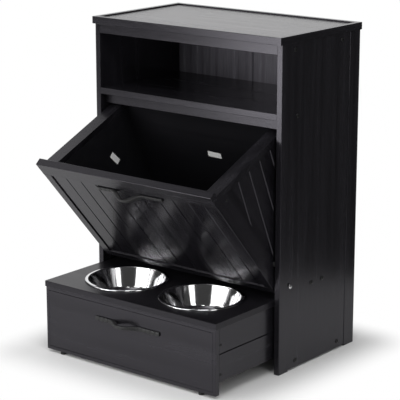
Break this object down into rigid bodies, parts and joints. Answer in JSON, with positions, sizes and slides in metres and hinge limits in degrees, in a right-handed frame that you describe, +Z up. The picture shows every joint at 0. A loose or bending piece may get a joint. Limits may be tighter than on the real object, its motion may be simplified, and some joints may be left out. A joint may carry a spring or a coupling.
{
  "type": "pet feeding station",
  "caption": "Black wood-grain pet feeding station with an open shelf, a tilting food bin and a drawer that carries two lift-out steel bowls.",
  "frame": {"origin": "on the floor, midway across the width and midway between the open bin's front edge and the back of the top", "axes": "+Z up, -Y out of the front where the bin and the drawer open, +X to the right as seen from the front"},
  "size_m": [0.622, 0.606, 0.87],
  "materials": {
    "laminate": "black wood-grain laminate, satin",
    "top_laminate": "black wood-grain laminate, semi-gloss",
    "black_hardware": "black coated steel, satin",
    "bright_steel": "bright plated steel",
    "black_plastic": "moulded black plastic",
    "bowl_steel": "polished stainless steel"
  },
  "bodies": {
    "cabinet": {"top_board": "top_laminate", "top_edging_front": "laminate", "top_edging_back": "laminate", "top_edging_left": "laminate", "top_edging_right": "laminate", "front_apron": "laminate", "side_panel_left": "laminate", "side_panel_right": "laminate", "back_stile_left": "laminate", "back_stile_right": "laminate", "top_cleat_left": "laminate", "top_cleat_right": "laminate", "shelf": "laminate", "shelf_stop_rail": "laminate", "back_panel_upper": "laminate", "back_panel_lower": "laminate", "cabinet_bolts_left": "black_hardware", "cabinet_bolts_right": "black_hardware", "pivot_pin_left": "black_hardware", "pivot_pin_right": "black_hardware", "pivot_plate_left": "bright_steel", "pivot_plate_right": "bright_steel", "plate_bolt_left": "bright_steel", "plate_bolt_right": "bright_steel", "bin_rest_board": "laminate", "drawer_runner_left": "laminate", "drawer_runner_right": "laminate"},
    "bin": {"bin_top_rail": "laminate", "bin_bottom_rail": "laminate", "bin_stile_left": "laminate", "bin_stile_right": "laminate", "bin_front_board": "laminate", "bin_post_left": "laminate", "bin_post_right": "laminate", "bin_side_board_left": "laminate", "bin_side_board_right": "laminate", "bin_rim_left": "laminate", "bin_rim_right": "laminate", "bin_lining_left": "laminate", "bin_lining_right": "laminate", "bin_batten_left": "laminate", "bin_batten_right": "laminate", "bin_back": "laminate", "bin_floor": "laminate", "bin_buffers": "black_plastic", "bin_side_screws": "black_hardware", "bin_handle": "black_hardware", "bin_handle_screws": "black_hardware"},
    "drawer": {"drawer_top": "laminate", "drawer_front": "laminate", "drawer_side_left": "laminate", "drawer_side_right": "laminate", "drawer_back": "laminate", "drawer_glides": "black_plastic", "drawer_side_screws": "black_hardware", "drawer_handle": "black_hardware", "drawer_handle_screws": "black_hardware"},
    "bowl_left": {"bowl_left": "bowl_steel"},
    "bowl_right": {"bowl_right": "bowl_steel"}
  },
  "joints": [
    {"name": "bin_tilt", "type": "hinge", "parent": "cabinet", "child": "bin", "pos_m": [0, -0.008, 0.2357], "axis": [1, 0, 0], "range_deg": [-41.55, 0]},
    {"name": "drawer_slide", "type": "slide", "parent": "cabinet", "child": "drawer", "axis": [0, 1, 0], "range_m": [0, 0.237]},
    {"name": "bowl_left_lift", "type": "slide", "parent": "drawer", "child": "bowl_left", "axis": [0, 0, 1], "range_m": [0, 0.01]},
    {"name": "bowl_right_lift", "type": "slide", "parent": "drawer", "child": "bowl_right", "axis": [0, 0, 1], "range_m": [0, 0.01]}
  ]
}
